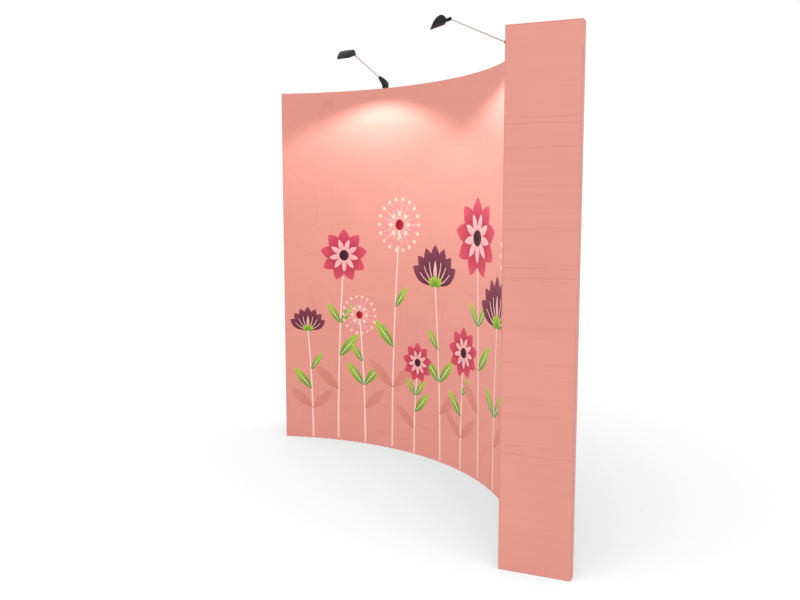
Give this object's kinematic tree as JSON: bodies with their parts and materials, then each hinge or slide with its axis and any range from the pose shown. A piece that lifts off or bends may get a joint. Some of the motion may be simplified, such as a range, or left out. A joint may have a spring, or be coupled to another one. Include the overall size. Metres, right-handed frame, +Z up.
{
  "type": "pop up display backwall",
  "caption": "Curved free-standing exhibition backwall: one-piece stretch-fabric print and end caps on a hub-and-tube scissor frame, lit from its top edge by swivelling floodlights.",
  "frame": {"origin": "on the floor, under the centre of the wall's bounding box", "axes": "+X along the wall, to the right as the audience sees it; +Y away from the audience, to the back of the frame; +Z up"},
  "size_m": [2.891, 0.9033, 2.4253],
  "materials": {
    "printed_fabric": "matt knitted polyester, dye-printed",
    "plain_fabric": "matt knitted polyester, dyed coral",
    "bar_aluminium": "satin, clear anodised",
    "hub_plastic": "moulded, fine texture",
    "lock_plastic": "moulded, fine texture",
    "tube_aluminium": "drawn, anodised",
    "zinc_steel": "zinc plated",
    "hook_tape": "hook tape",
    "foot_rubber": "moulded",
    "lamp_plastic": "moulded, satin",
    "inlet_plastic": "moulded",
    "lamp_arm_steel": "satin nickel",
    "lamp_casting": "satin black powder coat",
    "lamp_lens": "smoked, satin",
    "light_board": "white solder mask",
    "heat_sink_aluminium": "extruded",
    "knob_plastic": "moulded, fluted"
  },
  "bodies": {
    "wall": {"front_graphic": "printed_fabric", "end_cap_left": "plain_fabric", "end_cap_right": "plain_fabric", "return_strip_left": "plain_fabric", "return_strip_right": "plain_fabric", "front_bar_left": "bar_aluminium", "front_bar_right": "bar_aluminium", "rear_bar_left": "bar_aluminium", "rear_bar_right": "bar_aluminium", "hubs_column_1": "hub_plastic", "hubs_column_2": "hub_plastic", "hubs_column_3": "hub_plastic", "hubs_column_4": "hub_plastic", "hubs_column_5": "hub_plastic", "bay_1_tubes": "tube_aluminium", "bay_2_tubes": "tube_aluminium", "bay_3_tubes": "tube_aluminium", "bay_4_tubes": "tube_aluminium", "column_1_tubes": "tube_aluminium", "column_2_tubes": "tube_aluminium", "column_3_tubes": "tube_aluminium", "column_4_tubes": "tube_aluminium", "column_5_tubes": "tube_aluminium", "bay_tube_tips": "hub_plastic", "column_tube_tips": "hub_plastic", "hub_pins": "zinc_steel", "scissor_rivets": "zinc_steel", "hook_pads": "hook_tape", "hub_feet": "foot_rubber", "bar_screws": "zinc_steel", "lock_hinge_pins": "zinc_steel", "lock_studs": "zinc_steel"},
    "lock_arm_1": {"lock_arm_1": "lock_plastic"},
    "lock_arm_2": {"lock_arm_2": "lock_plastic"},
    "lock_arm_3": {"lock_arm_3": "lock_plastic"},
    "lock_arm_4": {"lock_arm_4": "lock_plastic"},
    "lock_arm_5": {"lock_arm_5": "lock_plastic"},
    "lock_arm_6": {"lock_arm_6": "lock_plastic"},
    "lamp_left": {"lamp_left_bracket": "lamp_plastic", "lamp_left_inlet": "inlet_plastic", "lamp_left_arm": "lamp_arm_steel", "lamp_left_knuckle": "lamp_casting"},
    "lamp_left_head": {"lamp_left_head": "lamp_casting", "lamp_left_lens": "lamp_lens", "lamp_left_light_board": "light_board", "lamp_left_heat_sink": "heat_sink_aluminium"},
    "lamp_left_knob": {"lamp_left_knob": "knob_plastic"},
    "lamp_right": {"lamp_right_bracket": "lamp_plastic", "lamp_right_inlet": "inlet_plastic", "lamp_right_arm": "lamp_arm_steel", "lamp_right_knuckle": "lamp_casting"},
    "lamp_right_head": {"lamp_right_head": "lamp_casting", "lamp_right_lens": "lamp_lens", "lamp_right_light_board": "light_board", "lamp_right_heat_sink": "heat_sink_aluminium"},
    "lamp_right_knob": {"lamp_right_knob": "knob_plastic"}
  },
  "joints": [
    {"name": "lock_arm_1_hinge", "type": "hinge", "parent": "wall", "child": "lock_arm_1", "pos_m": [-0.67007, 0.02865, 0.76333], "axis": [0.6364, 0.3083, -0.7071], "range_deg": [0, 70]},
    {"name": "lock_arm_2_hinge", "type": "hinge", "parent": "wall", "child": "lock_arm_2", "pos_m": [0, 0.18242, 0.76333], "axis": [0.7071, 0, -0.7071], "range_deg": [0, 70]},
    {"name": "lock_arm_3_hinge", "type": "hinge", "parent": "wall", "child": "lock_arm_3", "pos_m": [0.67007, 0.02865, 0.76333], "axis": [0.6364, -0.3083, -0.7071], "range_deg": [0, 70]},
    {"name": "lock_arm_4_hinge", "type": "hinge", "parent": "wall", "child": "lock_arm_4", "pos_m": [-0.67007, 0.02865, 1.48667], "axis": [0.6364, 0.3083, -0.7071], "range_deg": [0, 70]},
    {"name": "lock_arm_5_hinge", "type": "hinge", "parent": "wall", "child": "lock_arm_5", "pos_m": [0, 0.18242, 1.48667], "axis": [0.7071, 0, -0.7071], "range_deg": [0, 70]},
    {"name": "lock_arm_6_hinge", "type": "hinge", "parent": "wall", "child": "lock_arm_6", "pos_m": [0.67007, 0.02865, 1.48667], "axis": [0.6364, -0.3083, -0.7071], "range_deg": [0, 70]},
    {"name": "lamp_left_swivel", "type": "hinge", "parent": "wall", "child": "lamp_left", "pos_m": [-0.66091, 0.00975, 2.243], "axis": [0, 0, 1], "range_deg": [-90, 90]},
    {"name": "lamp_left_tilt", "type": "hinge", "parent": "lamp_left", "child": "lamp_left_head", "pos_m": [-0.52182, -0.27733, 2.416], "axis": [0.8999, 0.436, 0], "range_deg": [-60, 60]},
    {"name": "lamp_left_knob_turn", "type": "hinge", "parent": "lamp_left_head", "child": "lamp_left_knob", "pos_m": [-0.52182, -0.27733, 2.416], "axis": [0.8999, 0.436, 0], "continuous": true},
    {"name": "lamp_right_swivel", "type": "hinge", "parent": "wall", "child": "lamp_right", "pos_m": [0.66091, 0.00975, 2.243], "axis": [0, 0, 1], "range_deg": [-90, 90]},
    {"name": "lamp_right_tilt", "type": "hinge", "parent": "lamp_right", "child": "lamp_right_head", "pos_m": [0.52182, -0.27733, 2.416], "axis": [0.8999, -0.436, 0], "range_deg": [-60, 60]},
    {"name": "lamp_right_knob_turn", "type": "hinge", "parent": "lamp_right_head", "child": "lamp_right_knob", "pos_m": [0.52182, -0.27733, 2.416], "axis": [0.8999, -0.436, 0], "continuous": true}
  ]
}
